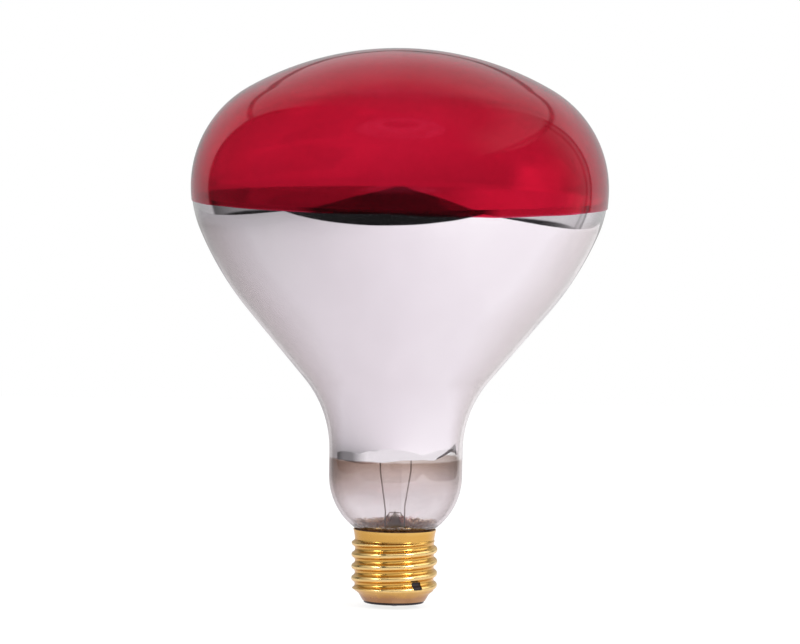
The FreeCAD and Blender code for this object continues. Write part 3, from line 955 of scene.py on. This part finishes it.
paper_wall = plus(left_wall, times(right_wall, rightness))
paper_height = grey_ramp(up, [
    (0.0, 0.50),
    (0.20, 0.54),
    (0.36, 0.61),
    (0.48, 0.545),
    (0.58, 0.457),
    (0.71, 0.37),
    (0.76, 0.32),
    (0.81, 0.20),
    (0.88, 0.054),
    (1.0, 0.03),
])
seam = grey_ramp(from_middle, [
    (0.0, 0.23),
    (0.08, 0.24),
    (0.18, 0.345),
    (0.28, 0.44),
    (0.60, 0.52),
    (1.0, 0.63),
])
seam_line = spread_of(tree, sum_up(tree, "ABSOLUTE", less(up, seam)), 0.010, 0.026, 0.3, 1)
paper_height = times(paper_height, seam_line)
side_light = plus(1.0, times(sideways, 0.35))
outside = times(paper_wall, times(paper_height, side_light))

# Mirrored room: inside the bowl the mirror shows the studio past a dark gable over the camera, and from
# outside it shows the bright room past the table's edges. Seen straight through the red face, the end of
# the table is darker and a window behind it at the right is brighter.
gable_foot = 0.14
gable_slope = 0.43
gable_lean = 0.03
gable_dark = 0.95
facet_slope = 0.5
inner_gain = 1.55
opening_slant = 0.5
table_slant = 0.035
pane_left = 0.0255
pane_right = 0.0400
pane_top = -0.0470
pane_soft = 0.0005
pane_gain = 0.70
gable_edge = plus(gable_foot, times(from_middle, gable_slope))
gable_edge = less(gable_edge, times(sideways, gable_lean))
gable = spread_of(tree, less(up, gable_edge), -0.008, 0.012, 0, 1)
gable = times(gable, sum_up(tree, "LESS_THAN", backward, 0.0))
inner_light = grey_ramp(from_left, [
    (0.0, 1.0),
    (0.10, 0.95),
    (0.25, 0.60),
    (0.50, 0.52),
    (0.80, 0.30),
    (1.0, 0.25),
])
inner_light = times(inner_light, inner_gain)
facet = less(gable_foot, times(from_middle, facet_slope))
facet = spread_of(tree, less(up, facet), -0.006, 0.006, 1, 0.80)
inner_light = times(inner_light, facet)
inside = times(less(1.0, times(gable, gable_dark)), inner_light)
rays = tree.nodes.new("ShaderNodeLightPath")
crossings = rays.outputs["Transmission Depth"]
mirrored = sum_up(tree, "GREATER_THAN", rays.outputs["Glossy Depth"], 0.5)
mirrored = times(mirrored, less(1.0, rays.outputs["Is Diffuse Ray"]))
through_red = sum_up(tree, "GREATER_THAN", crossings, 5.5)
deep = times(through_red, sum_up(tree, "GREATER_THAN", up, 0.02))
walled = less(sum_up(tree, "GREATER_THAN", crossings, 2.5), through_red)
ahead = less(backward, times(sideways, opening_slant))
ahead = spread_of(tree, ahead, 0.60, -0.20, 0, 1)
card = times(ahead, spread_of(tree, up, -0.17, -0.15, 0, 1.07))
beside = less(backward, times(from_middle, opening_slant))
beside = spread_of(tree, beside, 0.60, -0.20, 0, 1)
past_table = grey_ramp(from_left, [
    (0.0, 0.27),
    (0.10, 0.27),
    (0.25, 1.07),
    (0.75, 1.07),
    (0.90, 0.72),
    (1.0, 0.72),
])
past_table = times(past_table, beside)
table_gap = plus(up, times(sideways, table_slant))
past_table = times(past_table, spread_of(tree, table_gap, -0.305, -0.285, 0, 1))
card = sum_up(tree, "MAXIMUM", card, past_table)
outside = plus(outside, times(walled, card))
red_rim = grey_ramp(from_left, [
    (0.0, 0.30),
    (0.06, 0.30),
    (0.125, 0.0),
    (0.875, 0.0),
    (0.93, 0.80),
    (1.0, 0.80),
])
red_rim = times(red_rim, sum_up(tree, "LESS_THAN", up, 0.0))
outside = plus(outside, times(through_red, red_rim))
outside = plus(outside, spread_of(tree, crossings, 1, 3, 0.045, 0.010))
room = plus(times(deep, inside), times(less(1.0, deep), outside))
table_end = spread_of(tree, up, -0.0520, -0.0500, 0.28, 0)
table_end = sum_up(tree, "MAXIMUM", table_end, spread_of(tree, up, -0.0480, -0.0440, 0.14, 0))
table_end = times(through_red, table_end)
pane = fade_over(tree, across, pane_left, pane_soft)
pane = times(pane, fade_over(tree, across, pane_right, -pane_soft))
pane = times(pane, times(fade_over(tree, up, pane_top, -pane_soft), pane_gain))
pane = times(pane, through_red)
straight = plus(less(1.0, table_end), pane)
straight = times(less(1.0, mirrored), straight)
level = plus(times(mirrored, room), straight)
tree.links.new(level, light.inputs["Strength"])

# Soft lamps: two small ones at the front, and wide ones at the sides and over the camera, which model the
# brass. The bulb's own glass and mirror don't reflect them.
lamp_aim = Vector((0, 0, 0.06))
glassware = bpy.data.collections.new("glassware")
for piece in (envelope, lacquer, mirror):
    glassware.objects.link(piece)
for member in glassware.collection_objects:
    member.light_linking.link_state = "EXCLUDE"
for name, place, width, power in (
    ("right_lamp", (0.90, -1.0, 0.65), 0.4, 9.5),
    ("left_lamp", (-1.1, -0.8, 0.65), 0.4, 7.0),
    ("right_fill", (1.4, 0.0, 0.9), 1.4, 9.0),
    ("left_fill", (-1.4, 0.0, 0.9), 1.2, 3.0),
    ("front_fill", (0.0, -1.3, 1.1), 1.4, 6.0),
):
    panel = bpy.data.lights.new(name, "AREA")
    panel.size = width
    panel.energy = power
    lamp = bpy.data.objects.new(name, panel)
    bpy.context.scene.collection.objects.link(lamp)
    lamp.location = place
    lamp.rotation_euler = (lamp_aim - Vector(place)).to_track_quat("-Z", "Y").to_euler()
    lamp.visible_camera = False
    lamp.light_linking.receiver_collection = glassware

# Camera: a long lens about 2.4 m in front of the lamp, a little above its top and aimed at its middle.
# It is rolled slightly, as in the photograph.
eye = Vector((0, -2.393, 0.2622))
aim = Vector((0.00065, 0, 0.0872))
roll = math.radians(0.858)
camera_data = bpy.data.cameras.new("camera")
camera_data.sensor_width = 36
camera_data.lens = 353.8
camera = bpy.data.objects.new("camera", camera_data)
bpy.context.scene.collection.objects.link(camera)
camera.location = eye
camera.rotation_mode = "QUATERNION"
camera.rotation_quaternion = (aim - eye).to_track_quat("-Z", "Y") @ Quaternion((0, 0, 1), roll)
bpy.context.scene.camera = camera

# Picture: plain colours, and enough bounces for light that crosses the coats and the walls many times.
scene = bpy.context.scene
scene.view_settings.view_transform = "Standard"
scene.cycles.max_bounces = 24
scene.cycles.transmission_bounces = 24
scene.cycles.glossy_bounces = 10
